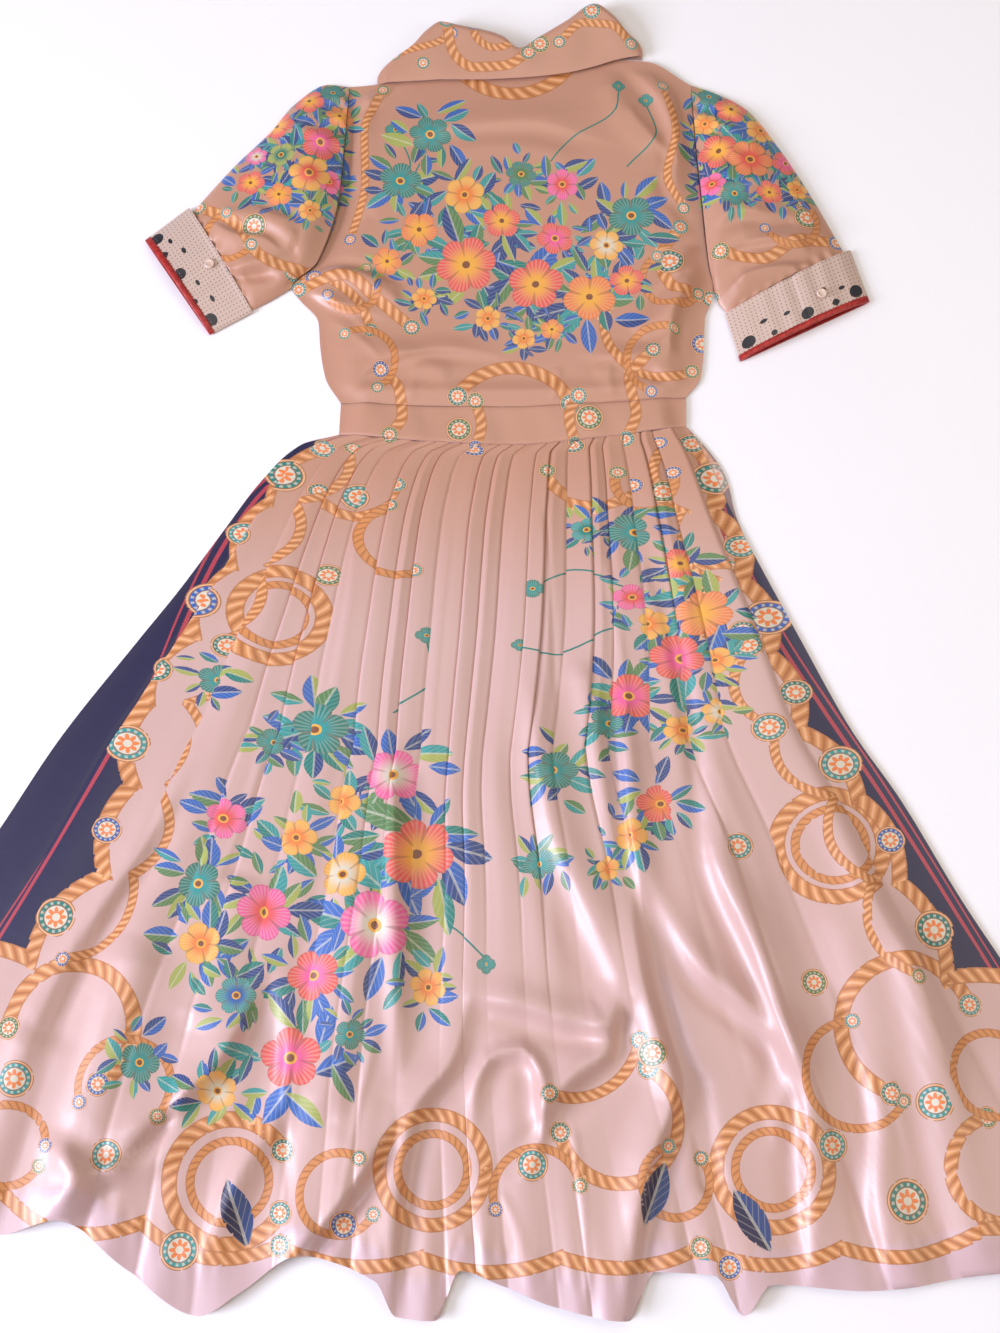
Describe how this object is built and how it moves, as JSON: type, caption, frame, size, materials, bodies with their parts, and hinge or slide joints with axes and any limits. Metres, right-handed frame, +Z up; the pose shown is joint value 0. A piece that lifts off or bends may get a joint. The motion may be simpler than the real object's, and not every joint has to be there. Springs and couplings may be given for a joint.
{
  "type": "pleated midi dress",
  "caption": "Pleated midi dress of printed satin with a shirt collar, short puffed sleeves with deep red-edged cuffs and a waistband, laid flat with its back up.",
  "frame": {"origin": "middle of the box round the laid-out dress, on the surface that it lies on", "axes": "+Z up out of the surface, towards the back of the dress; +Y from the hem to the collar; +X across, to the right of the picture"},
  "size_m": [1.175, 1.3028, 0.0297],
  "materials": {
    "satin_beige": "printed satin, soft sheen",
    "satin_band": "printed satin, soft sheen",
    "cuff_red": "satin binding",
    "pearl_button": "pearly, glossy"
  },
  "bodies": {
    "root": {"back_bodice": "satin_beige", "back_skirt": "satin_beige", "collar_leaf": "satin_beige", "collar_stand": "satin_beige", "cuff_binding_left": "cuff_red", "cuff_binding_right": "cuff_red", "cuff_button_left": "pearl_button", "cuff_button_right": "pearl_button", "cuff_left": "satin_beige", "cuff_right": "satin_beige", "front_bodice_left": "satin_beige", "front_bodice_right": "satin_beige", "front_skirt": "satin_beige", "sleeve_left": "satin_beige", "sleeve_right": "satin_beige", "waistband_back": "satin_band", "waistband_front": "satin_band"}
  },
  "joints": []
}
